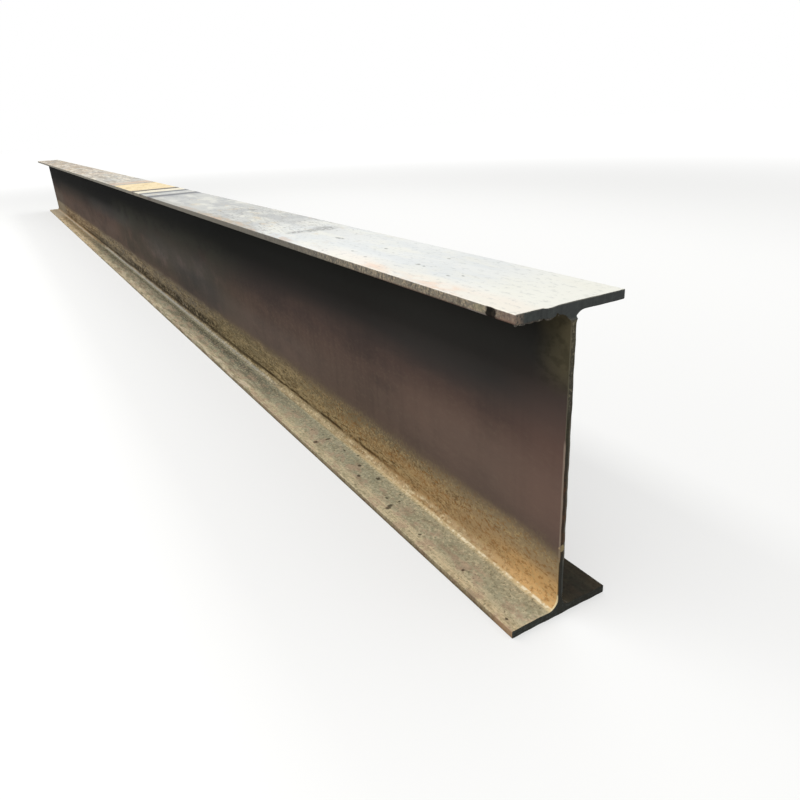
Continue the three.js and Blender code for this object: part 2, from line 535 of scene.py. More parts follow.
@dataclass
class RolledBeam:
    """The beam: its section swept along graded stations, with damaged, torch-cut ends."""

    section: Section
    half_length: float
    head: TorchCut
    tail: TorchCut
    first_station: float = 0.8 * MM  # from each end
    first_growth: float = 2.2  # from the first station to the second
    end_pitch: float = 4 * MM  # between stations near an end
    end_reach: float = 120 * MM  # how far that goes
    station_growth: float = 1.3
    middle_pitch: float = 0.3
    cap_pitch: float = 2.7 * MM  # between points on a cut face
    cut_reach: float = 60 * MM  # the skin is drawn back over this length
    arris: float = 0.5 * MM  # melted edge round a cut
    drag_pitch: float = 7 * MM  # from drag line to drag line
    drag_depth: float = 0.6 * MM
    drag_lag: float = 8.0  # length of a drag line, in pitches
    plate_step: float = 0.1  # the smaller it is, the further apart the plates' drag lines
    gouge_radius: float = 5 * MM
    gouge_depth: float = 16 * MM
    gouge_from_fillet: float = 8 * MM
    gouge_power: float = 0.35  # the smaller it is, the quicker the gouge opens
    bite_place: float = 85 * MM  # from the head end
    bite_length: float = 32 * MM
    bite_depth: float = 2 * MM
    sharp_angle: float = math.radians(38)  # edges sharper than this aren't shaded smooth
    map_gap: float = 0.02  # between strips of the bake's map, in metres of skin
    map_pixels: int = 1024
    cut_pixels: float = 0.8  # for each millimetre of a cut face
    map_margin: int = 3  # pixels round a cut face
    web_gap: int = 4  # pixels between both ends' web cuts

    @property
    def gouge_y(self) -> float:
        """Where the gouge lies across the beam."""
        return -self.section.fillet_edge - self.gouge_from_fillet

    def stations(self) -> np.ndarray:
        """Places along the beam from the tail end to the head end, close together near both.

        Returns:
            The places, in metres from the middle.
        """
        steps = [0.0, self.first_station, self.first_growth * self.first_station]
        while steps[-1] < self.end_reach:
            steps.append(steps[-1] + self.end_pitch)
        pitch = self.end_pitch
        while pitch < self.middle_pitch:
            pitch *= self.station_growth
            steps.append(steps[-1] + pitch)
        pieces = round((self.half_length - steps[-1]) / self.middle_pitch)
        steps.extend(np.linspace(steps[-1], self.half_length, pieces + 1)[1:])
        half = self.half_length - np.array(steps)
        return np.concatenate([-half, half[-2::-1]])

    def spine(self) -> bpy.types.Object:
        """Makes the line that the outline is swept along.

        Returns:
            An object with a point at each station.
        """
        along = self.stations()
        points = np.stack([along, np.zeros_like(along), np.zeros_like(along)], 1)
        return new_object("spine", new_mesh("spine", points, [(i, i + 1) for i in range(len(along) - 1)]))

    def cut_place(self, places: np.ndarray) -> np.ndarray:
        """Where places on the section lie in the torch's travel.

        Args:
            places: Rows of y and z.

        Returns:
            Rows of the distance along the cut, the depth into the plate and the plate's own offset.
        """
        y, z = places.T
        section, meets = self.section, self.head.meets(self.section)
        upper, lower = z > section.depth - meets, z < meets
        along = np.where(upper | lower, y, z)
        through = np.where(upper, section.depth - z, np.where(lower, z, y + section.web / 2))
        return np.stack([along, through, upper + 2.0 * lower], 1)

    def mark(self, mesh: bpy.types.Mesh, places: np.ndarray, normals: np.ndarray) -> None:
        """Stores what the sweep needs at each point of the outline or of a cut face.

        Args:
            mesh: The mesh that gets it.
            places: Rows of y and z.
            normals: Rows of the section's outward normal, with no length away from the outline.
        """
        put_attribute(mesh, "head_setback", "FLOAT", self.head.setback(places, self.section))
        put_attribute(mesh, "tail_setback", "FLOAT", self.tail.setback(places * (-1, 1), self.section))
        put_attribute(mesh, "cut_place", "FLOAT_VECTOR", self.cut_place(places))
        put_attribute(mesh, "outwards", "FLOAT_VECTOR", np.insert(normals, 0, 0.0, axis=1))

    def gouge_lift(self, outline: np.ndarray) -> np.ndarray:
        """How far the gouge's mouth lifts each point of the outline.

        Args:
            outline: One row for each point.

        Returns:
            A distance for each point.
        """
        y, z = outline.T
        flat = np.abs(z - self.section.upper_underside) < WELD
        inside = np.clip(self.gouge_radius**2 - (y - self.gouge_y) ** 2, 0, None)
        return np.where(flat, np.sqrt(inside), 0.0)

    def outline_mesh(self) -> bpy.types.Mesh:
        """The section's outline as a closed line, turned half round as the sweep takes it.

        Returns:
            The line, with what the sweep needs at each point.
        """
        outline = self.section.outline()
        count = len(outline)
        flat = np.insert(-outline, 2, 0.0, axis=1)
        mesh = new_mesh("outline", flat, [(i, (i + 1) % count) for i in range(count)])
        self.mark(mesh, outline, outward(outline))
        put_attribute(mesh, "gouge_lift", "FLOAT", self.gouge_lift(outline))
        steps = np.linalg.norm(np.diff(outline, axis=0), axis=1)
        put_attribute(mesh, "round", "FLOAT", np.insert(np.cumsum(steps), 0, 0.0))
        return mesh

    def cap(self, name: str, end: int) -> bpy.types.Object:
        """One end's face, with points all over it for its relief.

        Args:
            name: The object's name.
            end: 1 at the head and -1 at the tail.

        Returns:
            The face as an object, flat, at its end.
        """
        outline = self.section.outline()
        rim = outline.copy()
        if end > 0:
            rim[:, 1] += self.gouge_lift(outline)
        pitch = self.cap_pitch
        rows = np.arange(pitch / 2, self.section.depth, pitch * math.sqrt(3) / 2)
        columns = np.arange(-self.section.width / 2, self.section.width / 2, pitch)
        grid = np.array([(y + pitch / 2 * (i % 2), z) for i, z in enumerate(rows) for y in columns])
        places = np.concatenate([rim, grid[clear_inside(grid, rim, 0.5 * pitch)]])
        ring = [(i, (i + 1) % len(rim)) for i in range(len(rim))]
        made = delaunay_2d_cdt([Vector(p) for p in places], ring, [], 1, SAME, False)
        places, triangles = np.array([tuple(p) for p in made[0]]), np.array(made[2])
        triangles = triangles[clear_inside(places[triangles].mean(1), rim, 0.0)]
        faces = (triangles if end > 0 else triangles[:, ::-1]).tolist()
        mesh = new_mesh(name, np.insert(places, 0, end * self.half_length, axis=1), (), faces)
        normals = np.zeros((len(places), 2))
        normals[: len(rim)] = outward(outline)
        self.mark(mesh, places, normals)
        return new_object(name, mesh)

    def swept(self, tree: Recipe) -> Socket:
        """Sweeps the outline along the spine and marks the lower flange and the upper one's outer faces.

        Args:
            tree: The sweep's tree.

        Returns:
            The skin.
        """
        line = tree.get("GeometryNodeMeshToCurve", {"Mesh": tree.taken("Spine")})
        upright = tree.get("GeometryNodeSetCurveNormal", {"Curve": line}, mode="Z_UP")
        outline = tree.get("GeometryNodeMeshToCurve", {"Mesh": tree.given["Geometry"]})
        skin = tree.get("GeometryNodeCurveToMesh", {"Curve": upright, "Profile Curve": outline})
        height = tree.position()[2]
        above = tree.math("ADD", tree.given["Underside"], tree.given["Weld Distance"])
        skin = tree.marked(skin, "on_flange", tree.math("GREATER_THAN", height, above))
        return tree.marked(skin, "on_foot", tree.math("LESS_THAN", height, tree.given["Foot Height"]))

    def gouged(self, tree: Recipe, skin: Socket) -> Socket:
        """Lifts the outline into the gouge, which opens quickly from its start to the cut.

        Args:
            tree: The sweep's tree.
            skin: The swept skin.

        Returns:
            The gouged skin.
        """
        end = tree.given["Half Length"]
        start = tree.math("SUBTRACT", end, tree.given["Gouge Depth"])
        share = tree.ramp(tree.position()[0], start, end, shape="LINEAR")
        opening = tree.math("POWER", share, self.gouge_power)
        lift = tree.math("MULTIPLY", tree.named("gouge_lift", "FLOAT"), opening)
        return tree.moved(skin, Offset=tree.joined(Z=lift))

    def bitten(self, tree: Recipe, skin: Socket) -> Socket:
        """Presses the upper flange's near side in where a clamp bit it.

        Args:
            tree: The sweep's tree.
            skin: The swept skin.

        Returns:
            The bitten skin.
        """
        given = tree.given
        x, y, z = tree.position()
        middle = tree.math("SUBTRACT", given["Half Length"], given["Bite Place"])
        reach = tree.math("MULTIPLY", given["Bite Length"], 0.5)
        share = tree.math("DIVIDE", tree.math("SUBTRACT", x, middle), reach)
        left = tree.math("SUBTRACT", 1.0, tree.math("POWER", share, 2.0), use_clamp=True)
        inwards = tree.math("MULTIPLY", left, given["Bite Depth"])
        side = tree.math("SUBTRACT", inwards, given["Half Width"])
        target = tree.joined(X=x, Y=tree.math("MAXIMUM", y, side), Z=z)
        lowest = tree.math("SUBTRACT", given["Underside"], given["Weld Distance"])
        return tree.moved(skin, Selection=tree.math("GREATER_THAN", z, lowest), Position=target)

    def closed(self, tree: Recipe, skin: Socket) -> Socket:
        """Joins both cut faces to the skin, marked as such.

        Args:
            tree: The sweep's tree.
            skin: The swept skin.

        Returns:
            The beam, closed at both ends.
        """
        join = tree.add("GeometryNodeJoinGeometry")
        faces = [tree.marked(tree.taken(name), "on_cut", True) for name in ("Tail Face", "Head Face")]
        for part in (*faces, skin):
            tree.tree.links.new(part, join.inputs[0])
        weld = {"Geometry": join.outputs[0], "Distance": tree.given["Weld Distance"]}
        return tree.get("GeometryNodeMergeByDistance", weld)

    def dragged(self, tree: Recipe, closed: Socket) -> Socket:
        """Gives the cut faces their drag lines and melts the arris round them.

        Args:
            tree: The sweep's tree.
            closed: The beam with its cut faces on.

        Returns:
            The beam with rough cuts.
        """
        given = tree.given
        along = tree.position()[0]
        limit = tree.math("SUBTRACT", given["Half Length"], given["Weld Distance"])
        at_end = tree.math("GREATER_THAN", tree.math("ABSOLUTE", along), limit)
        lag = tree.math("MULTIPLY", given["Drag Pitch"], self.drag_lag)
        size = tree.joined(X=given["Drag Pitch"], Y=lag, Z=self.plate_step)
        lines = tree.noise(tree.vector("DIVIDE", tree.named("cut_place", "FLOAT_VECTOR"), size), 2.0)
        depth = tree.math("MULTIPLY", lines, given["Drag Depth"])
        into = tree.joined(X=tree.math("MULTIPLY", depth, tree.math("SIGN", along)))
        melted = tree.math("MULTIPLY", tree.math("MULTIPLY", lines, given["Arris"]), 2.0)
        inset = tree.scaled(tree.named("outwards", "FLOAT_VECTOR"), melted)
        offset = tree.scaled(tree.vector("ADD", into, inset), -1.0)
        return tree.moved(closed, Selection=at_end, Offset=offset)

    def drawn_back(self, tree: Recipe, closed: Socket) -> Socket:
        """Draws both ends back to their cut lines.

        Args:
            tree: The sweep's tree.
            closed: The beam with its cut faces on.

        Returns:
            The beam with its cuts in place.
        """
        along, end = tree.position()[0], tree.given["Half Length"]
        start = tree.math("SUBTRACT", end, tree.given["Cut Reach"])
        shifts = []
        for name, side in (("head_setback", 1.0), ("tail_setback", -1.0)):
            share = tree.ramp(tree.math("MULTIPLY", along, side), start, end, shape="LINEAR")
            shifts.append(tree.math("MULTIPLY", tree.named(name, "FLOAT"), share))
        return tree.moved(closed, Offset=tree.joined(X=tree.math("SUBTRACT", shifts[1], shifts[0])))

    def sweep(self, values: dict) -> Recipe:
        """Writes the tree that sweeps the outline, joins the cut faces to it and works both ends over.

        Args:
            values: What each input gets.

        Returns:
            The tree.
        """
        tree = Recipe("sweep_beam", values)
        skin = self.bitten(tree, self.gouged(tree, self.swept(tree)))
        cut = self.drawn_back(tree, self.dragged(tree, self.closed(tree, skin)))
        smooth = tree.get("GeometryNodeSetShadeSmooth", {"Geometry": cut}, domain="FACE")
        angle = tree.add("GeometryNodeInputMeshEdgeAngle").outputs["Unsigned Angle"]
        gentle = tree.math("LESS_THAN", angle, tree.given["Sharp Angle"])
        edges = {"Geometry": smooth, "Shade Smooth": gentle}
        shaded = tree.get("GeometryNodeSetShadeSmooth", edges, domain="EDGE")
        parts = [None] + [tree.named(name, "BOOLEAN") for name in ("on_foot", "on_flange", "on_cut")]
        tree.end(shaded, [(tree.given[face.value], part) for face, part in zip(Face, parts)])
        return tree

    def build(self, finishes: dict[Face, bpy.types.Material]) -> bpy.types.Object:
        """Makes the beam.

        Args:
            finishes: The material of each kind of face.

        Returns:
            The finished beam.
        """
        objects = {
            "Spine": self.spine(),
            "Head Face": self.cap("head_face", 1),
            "Tail Face": self.cap("tail_face", -1),
        }
        sizes = {
            "Half Width": self.section.width / 2,
            "Underside": self.section.upper_underside,
            "Foot Height": self.section.flange + self.section.root,
            "Weld Distance": WELD,
            **titled(self, "half_length cut_reach arris drag_pitch drag_depth gouge_depth"),
            **titled(self, "bite_place bite_length bite_depth sharp_angle"),
        }
        materials = {face.value: finishes[face] for face in Face}
        beam = self.sweep({**objects, **sizes, **materials}).run(self.outline_mesh(), "rolled_beam")
        for helper in objects.values():
            bpy.data.objects.remove(helper)
        mesh = beam.data
        self.lay_bake_map(mesh)
        marks = "head_setback tail_setback outwards gouge_lift round on_foot on_flange on_cut"
        for name in marks.split():
            mesh.attributes.remove(mesh.attributes[name])
        return beam

    def lay_bake_map(self, mesh: bpy.types.Mesh) -> None:
        """Lays the skin out in two strips, one for each half, and the cut faces in the room that is left.

        Args:
            mesh: The finished beam, which still has its sweep's attributes.
        """

        def read(items: bpy.types.bpy_prop_collection, key: str, kind: type, width: int = 1) -> np.ndarray:
            """Reads one property of every item.

            Args:
                items: What has it.
                key: Its name.
                kind: Its type.
                width: How many numbers each item has.

            Returns:
                One row of numbers.
            """
            values = np.empty(len(items) * width, kind)
            items.foreach_get(key, values)
            return values

        vertex, totals = read(mesh.loops, "vertex_index", int), read(mesh.polygons, "loop_total", int)
        first = np.concatenate([[0], np.cumsum(totals)[:-1]])
        corner = read(mesh.vertices, "co", float, 3).reshape(-1, 3)[vertex]
        centre = np.repeat(np.add.reduceat(corner, first) / totals[:, None], totals, 0)
        around = read(mesh.attributes["round"].data, "value", float)
        cut = np.repeat(read(mesh.attributes["on_cut"].data, "value", bool), totals)

        perimeter = around.max() + self.section.flange_pitch
        side = self.half_length + 2 * self.map_gap
        turn = around[vertex]
        last = np.repeat(np.maximum.reduceat(turn, first), totals)
        turn = np.where(last - turn > perimeter / 2, turn + perimeter, turn)
        head = centre[:, 0] > 0
        u = (corner[:, 0] + self.half_length * ~head + self.map_gap) / side
        v = (turn + self.map_gap + head * (perimeter + self.map_gap)) / side
        rows = (2 * perimeter + 4 * self.map_gap) / side

        section, pixel = self.section, 1 / self.map_pixels
        meets, grain = self.head.meets(section), self.cut_pixels / MM * pixel
        upper, lower = centre[:, 2] > section.depth - meets, centre[:, 2] < meets
        from_edge = np.where(upper, section.depth - corner[:, 2], corner[:, 2])
        margin = self.map_margin * pixel
        step = section.width * grain + 2 * margin
        flange_u = margin + (2 * head + upper) * step + (corner[:, 1] + section.width / 2) * grain
        flange_v = rows + from_edge * grain
        web_u = margin + (corner[:, 2] - meets / 2) * grain
        web_row = meets * grain + 2 * margin + head * (2 * section.web * grain + self.web_gap * pixel)
        web_v = rows + web_row + (corner[:, 1] + section.web) * grain
        on_flange = upper | lower
        u = np.where(cut, np.where(on_flange, flange_u, web_u), u)
        v = np.where(cut, np.where(on_flange, flange_v, web_v), v)
        layer = mesh.uv_layers.new(name=BAKE_MAP)
        layer.data.foreach_set("uv", np.stack([u, v], 1).astype(np.float32).ravel())


# ---------------------------------------- slag


@dataclass
class HeadSlag:
    """Slag that ran down the first go of the upper flange's cut and froze as it hung in drops."""

    section: Section
    half_length: float
    cut: TorchCut
    last_y: float  # the row ends here
    pitch: float = 5 * MM
    radius: float = 4.5 * MM  # largest drop
    hang: float = 6 * MM  # below the flange, largest drop
    smallest: float = 0.5  # share of the largest
    swing: tuple[float, float] = (2.4, 0.9)  # of the sizes, in radians: from drop to drop and at the first
    beads: tuple[Triple, ...] = ((-38 * MM, 769 * MM, 0.4), (-6.5 * MM, 197 * MM, 0.75))  # y, z and share
    voxel_size: float = 0.45 * MM
    lump_size: float = 3 * MM
    lump_depth: float = 0.8 * MM

    def drops(self) -> bpy.types.Mesh:
        """A point for each drop and bead, with its share of the largest drop's size.

        Returns:
            The points as a mesh.
        """
        across = np.arange(-self.section.width / 2 + self.radius, self.last_y, self.pitch)
        swing = np.abs(np.sin(self.swing[0] * np.arange(len(across)) + self.swing[1]))
        shares = self.smallest + (1 - self.smallest) * swing
        row = [(y, self.section.upper_underside, share) for y, share in zip(across, shares)]
        drops = np.array(row + list(self.beads))
        places, sizes = drops[:, :2], drops[:, 2]
        along = self.half_length - self.cut.setback(places, self.section) - self.radius * sizes
        mesh = new_mesh("drops", np.insert(places, 0, along, axis=1))
        put_attribute(mesh, "drop_size", "FLOAT", sizes)
        return mesh

    def drip(self, values: dict) -> Recipe:
        """Writes the tree that hangs a drop at each point, runs them together and roughens them.

        Args:
            values: What each input gets.

        Returns:
            The tree.
        """
        tree = Recipe("hang_slag", values)
        given = tree.given
        largest = tree.joined(X=given["Radius"], Y=given["Radius"], Z=given["Hang"])
        scale = tree.scaled(largest, tree.named("drop_size", "FLOAT"))
        drop = tree.get("GeometryNodeMeshIcoSphere", {"Radius": 1.0, "Subdivisions": 4})
        points = tree.get("GeometryNodeMeshToPoints", {"Mesh": given["Geometry"]})
        placing = {"Points": points, "Instance": drop, "Scale": scale}
        hung = tree.get("GeometryNodeInstanceOnPoints", placing)
        apart = tree.get("GeometryNodeRealizeInstances", {"Geometry": hung})
        filling = {"Mesh": apart, "Voxel Size": given["Voxel Size"]}
        filled = tree.get("GeometryNodeMeshToVolume", filling, resolution_mode="VOXEL_SIZE")
        run = tree.get("GeometryNodeVolumeToMesh", {"Volume": filled, "Threshold": 0.1})
        spread = tree.vector("DIVIDE", tree.get("GeometryNodeInputPosition"), given["Lump Size"])
        depth = tree.math("MULTIPLY", tree.noise(spread, 3.0), given["Lump Depth"])
        inwards = tree.scaled(tree.scaled(tree.get("GeometryNodeInputNormal"), depth), -1.0)
        rough = tree.moved(run, Offset=inwards)
        smooth = tree.get("GeometryNodeSetShadeSmooth", {"Geometry": rough}, domain="FACE")
        tree.end(smooth, [(given["Slag Finish"], None)])
        return tree

    def build(self, finish: bpy.types.Material) -> bpy.types.Object:
        """Makes the frozen drops as one object.

        Args:
            finish: Its material.

        Returns:
            The finished slag.
        """
        values = {**titled(self, "radius hang voxel_size lump_size lump_depth"), "Slag Finish": finish}
        return self.drip(values).run(self.drops(), "head_slag")


# ---------------------------------------- finishes


class Axis(Enum):
    """What a mask can be measured along, in millimetres."""

    ALONG = "x"
    ACROSS = "y"
    UP = "z"
    OUT = "|y|"  # from the web's middle, on both sides


class Canvas(Graph):
    """A material's tree with the object's own coordinates in millimetres."""

    def __init__(self, name: str) -> None:
        """Makes the material and its coordinates."""
        self.material = bpy.data.materials.new(name)
        self.material.use_nodes = True
        super().__init__(self.material.node_tree)
        self.place = self.scaled(self.add("ShaderNodeTexCoord").outputs["Object"], 1 / MM)
        x, y, z = self.split(self.place)
        self.axes = {Axis.ALONG: x, Axis.ACROSS: y, Axis.UP: z, Axis.OUT: self.math("ABSOLUTE", y)}

    def spread(self, size: Triple, seed: float) -> Socket:
        """The object's coordinates divided by a pattern's size and moved to a place of its own."""
        shift = tuple(step * seed for step in SEED_STEP)
        return self.vector("MULTIPLY_ADD", self.place, tuple(1 / s for s in size), shift)

    def rise(self, value: Socket, middle: float, soft: float) -> Socket:
        """Rises smoothly from 0 to 1 round a value, or falls if the softness is negative."""
        return self.ramp(value, middle - soft / 2, middle + soft / 2)

    def product(self, values: list[Value]) -> Value:
        """Multiplies everything together.

        Args:
            values: One or more sockets or numbers.

        Returns:
            Their product.
        """
        total = values[0]
        for value in values[1:]:
            total = self.math("MULTIPLY", total, value)
        return total


@dataclass(frozen=True)
class Span:
    """What lies between two places on an axis, with soft and ragged borders."""

    axis: Axis
    low: float = -math.inf
    high: float = math.inf
    soft: float = 1.0
    ragged: float = 0.0
    grain: Triple = (60.0, 60.0, 60.0)
    seed: float = 1.0

    def mask(self, canvas: Canvas) -> Socket:
        """Builds the mask.

        Args:
            canvas: The finish's tree.

        Returns:
            1 inside and 0 outside.
        """
        value = canvas.axes[self.axis]
        if self.ragged:
            stray = canvas.noise(canvas.spread(self.grain, self.seed), 4.0)
            moved = canvas.math("MULTIPLY_ADD", stray, 2 * self.ragged, value)
            value = canvas.math("SUBTRACT", moved, self.ragged)
        sides = ((self.low, self.soft), (self.high, -self.soft))
        return canvas.product([canvas.rise(value, *side) for side in sides if math.isfinite(side[0])])


@dataclass(frozen=True)
class Mottle:
    """Clouds, patches or streaks: the part of a noise that is above a level."""

    size: Triple
    level: float = 0.5
    soft: float = 0.15
    seed: float = 1.0
    detail: float = 4.0
    grit: float = 0.6

    def mask(self, canvas: Canvas) -> Socket:
        """1 in the patches and 0 between them."""
        noise = canvas.noise(canvas.spread(self.size, self.seed), self.detail, self.grit)
        return canvas.rise(noise, self.level, self.soft)


@dataclass(frozen=True)
class Specks:
    """Scattered pits or chips, some cells of a lattice with one each."""

    pitch: Triple
    radius: float = 0.3  # largest, as a share of the pitch
    share: float = 0.5  # of the cells that have one
    seed: float = 1.0
    soft: float = 0.25  # of their borders, as a share of the radius

    def mask(self, canvas: Canvas) -> Socket:
        """Builds the mask.

        Args:
            canvas: The finish's tree.

        Returns:
            1 in the specks and 0 between them.
        """
        lattice = {"Vector": canvas.spread(self.pitch, self.seed), "Scale": 1.0}
        cells = canvas.add("ShaderNodeTexVoronoi", lattice).outputs
        red, green, _ = canvas.split(cells["Color"])
        inside = canvas.math("SUBTRACT", canvas.math("MULTIPLY", red, self.radius), cells["Distance"])
        dot = canvas.ramp(inside, 0.0, self.soft * self.radius)
        return canvas.product([dot, canvas.math("LESS_THAN", green, self.share)])


@dataclass(frozen=True)
class Blots:
    """Single ragged marks, each by its middle and its reach along each axis."""

    marks: tuple[tuple[Triple, Triple], ...]
    soft: float = 0.5  # of their borders, as a share of their reach
    ragged: float = 0.9  # the same
    grain: float = 6.5  # of the ragged borders

    def mask(self, canvas: Canvas) -> Socket:
        """Builds the mask.

        Args:
            canvas: The finish's tree.

        Returns:
            1 in the marks and 0 outside them.
        """
        stray = canvas.noise(canvas.spread((self.grain,) * 3, 4.0), 3.0, 0.6)
        nearest = FAR_OFF
        for middle, reach in self.marks:
            scale = tuple(1 / r for r in reach)
            shift = tuple(-m / r for m, r in zip(middle, reach))
            offset = canvas.vector("MULTIPLY_ADD", canvas.place, scale, shift)
            nearest = canvas.math("MINIMUM", canvas.length(offset), nearest)
        moved = canvas.math("MULTIPLY_ADD", stray, 2 * self.ragged, nearest)
        return canvas.rise(moved, 1.0 + self.ragged, -self.soft)


Mask = Span | Mottle | Specks | Blots


@dataclass(frozen=True)
class Coat:
    """One layer of a finish: its colour and gloss where all of its masks meet."""

    colour: str
    where: tuple[Mask, ...]
    strength: float = 1.0
    roughness: float | None = None
    metallic: float | None = None
    lift: float = 0.0  # millimetres above what it covers


@dataclass(frozen=True)
class Finish:
    """A finish: colours by height, then coats over them."""

    name: str
    heights: tuple[tuple[float, str], ...]
    coats: tuple[Coat, ...]
    roughness: float
    metallic: float
    specular: float = 0.5
    grain: float = 0.0  # height of the fine roughness, millimetres
    grain_size: Triple = (3.0, 3.0, 3.0)

    def base(self, canvas: Canvas) -> Socket:
        """Runs the colours by height smoothly into each other.

        Args:
            canvas: The finish's tree.

        Returns:
            The colour.
        """
        low, high = self.heights[0][0], self.heights[-1][0]
        share = canvas.ramp(canvas.axes[Axis.UP], low, high, shape="LINEAR")
        ramp = canvas.add("ShaderNodeValToRGB", {0: share})
        stops = ramp.color_ramp.elements
        for i, (height, colour) in enumerate(self.heights):
            place = (height - low) / (high - low)
            stop = stops[i] if i < 2 else stops.new(place)  # a new ramp has two
            stop.position, stop.color = place, linear(colour)
        return ramp.outputs[0]

    def material(self) -> bpy.types.Material:
        """Builds the finish as a material.

        Returns:
            The material.
        """
        canvas = Canvas(self.name)
        colour, height = self.base(canvas), canvas.noise(canvas.spread(self.grain_size, 2.0), 3.0)
        height = canvas.product([height, self.grain])
        gloss = {"Roughness": self.roughness, "Metallic": self.metallic}
        for coat in self.coats:
            mask = canvas.product([part.mask(canvas) for part in coat.where] + [coat.strength])
            colour = canvas.mixed(mask, colour, linear(coat.colour), "RGBA")
            for key, value in (("Roughness", coat.roughness), ("Metallic", coat.metallic)):
                if value is not None:
                    gloss[key] = canvas.mixed(mask, gloss[key], value)
            if coat.lift:
                height = canvas.math("MULTIPLY_ADD", mask, coat.lift, height)
        bump = canvas.get("ShaderNodeBump", {"Strength": 1.0, "Distance": MM, "Height": height})
        steel = {"Base Color": colour, **gloss, "Specular IOR Level": self.specular, "Normal": bump}
        canvas.add("ShaderNodeOutputMaterial", {"Surface": canvas.get("ShaderNodeBsdfPrincipled", steel)})
        return canvas.material


# ---------------------------------------- studio


@dataclass(frozen=True)
class Studio:
    """A plain pale room: even light all round and a long softbox over each side of the beam."""

    ambient: float = 0.45
    box_size: tuple[float, float] = (18.0, 3.0)
    box_centre: Triple = (1.0, 3.2, 5.2)
    box_watts: tuple[float, float] = (820.0, 380.0)  # over the near side and the far side
    floor_side: float = 120.0
    floor_glow: tuple[float, float] = (0.47, 0.80)  # of what is seen, near the beam and far off
    floor_glow_span: tuple[float, float] = (6.0, 16.0)  # from the middle, where the glow rises
    floor_seen: str = "#bcbcba"
    floor_lit: str = "#8c8a86"
    white: str = "#ffffff"
    camera_place: Triple = (6.9499, -0.9564, 1.1516)
    azimuth: float = 60.4411
    elevation: float = 23.0299
    roll: float = -3.2621
    lens: float = 29.951

    def build(self) -> None:
        """Makes the room, its lights and the camera."""
        self.light_room()
        for side, watts in zip((-1, 1), self.box_watts):
            self.softbox(side, watts)
        self.floor()
        self.camera()

    @staticmethod
    def seen_directly(graph: Graph) -> Socket:
        """Tells what the camera sees, directly or in a reflection, from other light.

        Args:
            graph: A material's or the world's tree.

        Returns:
            1 for what the camera sees and 0 for other light.
        """
        path = graph.add("ShaderNodeLightPath").outputs
        total = graph.math("ADD", path["Is Camera Ray"], path["Is Glossy Ray"])
        return graph.math("ADD", total, path["Is Transmission Ray"], use_clamp=True)

    def light_room(self) -> None:
        """Lights the beam evenly from all round, before a white background."""
        world = bpy.data.worlds.new("room")
        bpy.context.scene.world = world
        world.use_nodes = True
        graph = Graph(world.node_tree)
        strength = graph.ramp(self.seen_directly(graph), 0.0, 1.0, (self.ambient, 1.0), "LINEAR")
        light = graph.get("ShaderNodeBackground", {"Color": linear(self.white), "Strength": strength})
        graph.add("ShaderNodeOutputWorld", {"Surface": light})

    def softbox(self, side: int, watts: float) -> None:
        """Hangs a long softbox over one side of the beam.

        Args:
            side: -1 for the near side and 1 for the far side.
            watts: Its power.
        """
        lamp = bpy.data.lights.new(f"softbox_{'near' if side < 0 else 'far'}", "AREA")
        lamp.shape = "RECTANGLE"
        lamp.size, lamp.size_y = self.box_size
        lamp.energy = watts
        box = bpy.data.objects.new(lamp.name, lamp)
        x, y, z = self.box_centre
        box.location = (x, side * y, z)
        box.rotation_euler = (side * math.atan2(y, z), 0, 0)
        bpy.context.scene.collection.objects.link(box)

    def floor(self) -> None:
        """Lays the floor, pale where it is seen, that keeps the beam's shadow."""
        reach = self.floor_side / 2
        corners = [(-reach, -reach, 0), (reach, -reach, 0), (reach, reach, 0), (-reach, reach, 0)]
        floor = new_object("floor", new_mesh("floor", corners, (), [(0, 1, 2, 3)]))
        material = bpy.data.materials.new("pale_floor")
        material.use_nodes = True
        graph = Graph(material.node_tree)
        seen = self.seen_directly(graph)
        colour = graph.mixed(seen, linear(self.floor_lit), linear(self.floor_seen), "RGBA")
        surface = {"Base Color": colour, "Roughness": 0.9, "Specular IOR Level": 0.0}
        shader = graph.get("ShaderNodeBsdfPrincipled", surface)
        place = graph.add("ShaderNodeTexCoord").outputs["Object"]
        glow = graph.ramp(graph.length(place), *self.floor_glow_span, self.floor_glow)
        glow = graph.math("MULTIPLY", seen, glow)
        light = graph.get("ShaderNodeEmission", {"Color": linear(self.white), "Strength": glow})
        both = graph.get("ShaderNodeAddShader", {0: shader, 1: light})
        graph.add("ShaderNodeOutputMaterial", {"Surface": both})
        floor.data.materials.append(material)
        floor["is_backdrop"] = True

    def camera(self) -> None:
        """Sets the camera up by the beam's head end."""
        azimuth, elevation, roll = (math.radians(a) for a in (self.azimuth, self.elevation, self.roll))
        level = math.cos(elevation)
        back = Vector((math.sin(azimuth) * level, -math.cos(azimuth) * level, math.sin(elevation)))
        right = Vector((0, 0, 1)).cross(back).normalized()
        turned = Matrix((right, back.cross(right), back)).transposed().to_4x4()
        lens = bpy.data.cameras.new("camera")
        lens.lens = self.lens
        camera = bpy.data.objects.new("camera", lens)
        camera.matrix_world = Matrix.Translation(self.camera_place) @ turned @ Matrix.Rotation(roll, 4, "Z")
        bpy.context.scene.collection.objects.link(camera)
        bpy.context.scene.camera = camera


# ---------------------------------------- the beam's finishes


def coat(colour: str, strength: float, *where: Mask, **gloss: float) -> Coat:
    """A coat where all of some masks meet, with its own gloss or lift if it is given."""
    return Coat(colour, where, strength, **gloss)


def over(masks: tuple[Mask, ...], *coats: Coat) -> list[Coat]:
    """Coats that all lie within some masks too."""
    return [replace(each, where=(*masks, *each.where)) for each in coats]


def marks(z: float, *rows: tuple[float, ...]) -> tuple[tuple[Triple, Triple], ...]:
    """Marks at one height, each from its middle's x and y and its reach along each axis."""
    return tuple(((x, y, z), tuple(reach)) for x, y, *reach in rows)


